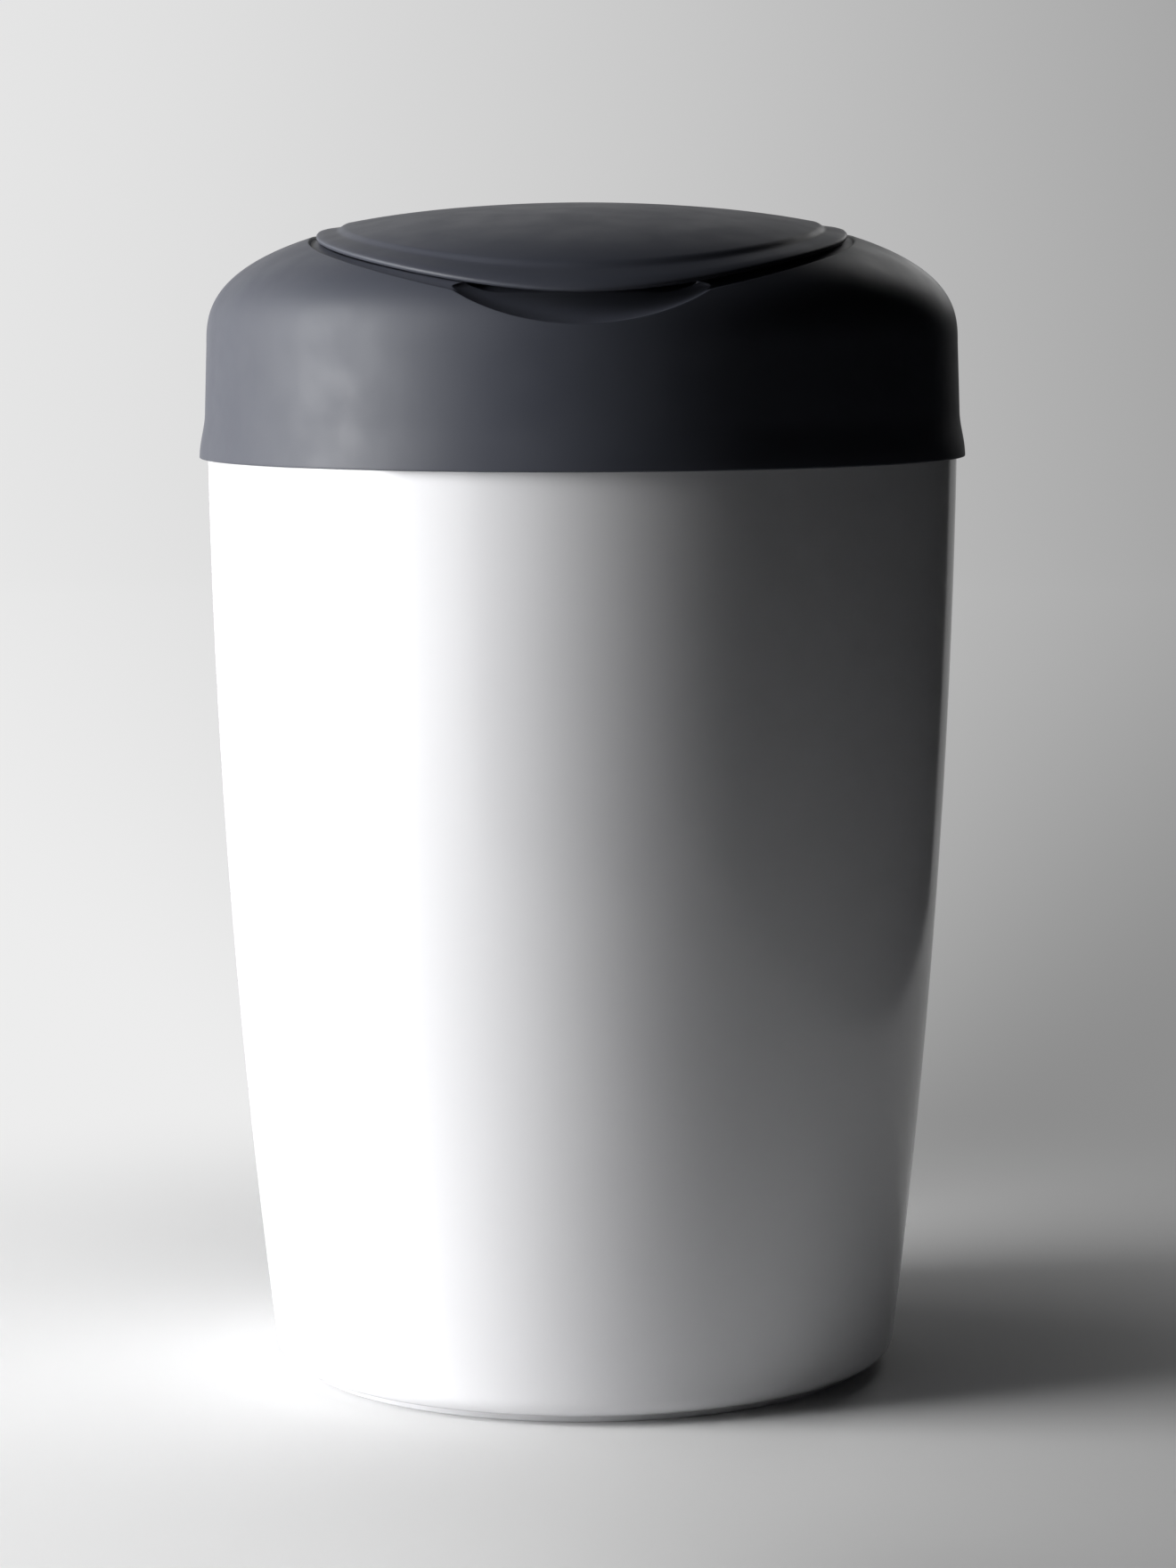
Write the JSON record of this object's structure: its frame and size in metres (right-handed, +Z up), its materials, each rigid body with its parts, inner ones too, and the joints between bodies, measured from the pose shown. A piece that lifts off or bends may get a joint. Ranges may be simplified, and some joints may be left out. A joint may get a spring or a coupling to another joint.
{
  "type": "nappy bin",
  "caption": "Tapered round nappy bin with a domed lift-off top, a hinged lid over a turning film cassette, and a thumb scoop in front.",
  "frame": {"origin": "middle of the foot, on the floor", "axes": "+Z up, -Y towards the front, where the thumb scoop is, +X to the right as seen from the front"},
  "size_m": [0.286, 0.286, 0.4372],
  "materials": {
    "tub_white": "gloss",
    "cover_grey": "satin",
    "inner_grey": "matte",
    "accent_teal": "satin",
    "cassette_white": "satin",
    "film_blue": "thin gathered film",
    "gripper_soft": "matte",
    "seal_rubber": "matte",
    "acetal_white": "satin",
    "steel": "plain"
  },
  "bodies": {
    "tub": {"tub_shell": "tub_white"},
    "upper_unit": {"top_cover": "cover_grey", "cassette_deck": "inner_grey", "rim_seal": "seal_rubber", "gripper_ring": "gripper_soft", "gripper_clamp": "inner_grey", "click_spring": "acetal_white", "cutter_housing": "accent_teal", "cutter_blade": "steel", "hinge_rod": "steel", "deck_screw_1": "steel", "deck_screw_2": "steel", "deck_screw_3": "steel", "deck_screw_4": "steel", "clamp_screw_1": "steel", "clamp_screw_2": "steel", "clamp_screw_3": "steel", "clamp_screw_4": "steel", "clamp_screw_5": "steel", "spring_screw": "steel", "cutter_screw_1": "steel", "cutter_screw_2": "steel"},
    "lid": {"lid_shell": "cover_grey", "lid_liner": "inner_grey", "lid_seal": "seal_rubber"},
    "twist": {"twist_carrier": "inner_grey", "cassette_body": "cassette_white", "cassette_cap": "accent_teal", "film_pack": "film_blue"}
  },
  "joints": [
    {"name": "unit_lift", "type": "slide", "parent": "tub", "child": "upper_unit", "axis": [0, 0, 1], "range_m": [0, 0.2]},
    {"name": "lid_hinge", "type": "hinge", "parent": "upper_unit", "child": "lid", "pos_m": [0, 0.0619, 0.42937], "axis": [-1, 0, 0], "range_deg": [0, 95]},
    {"name": "cassette_twist", "type": "hinge", "parent": "upper_unit", "child": "twist", "pos_m": [0, -0.034, 0.36], "axis": [0, 0, 1], "continuous": true}
  ]
}
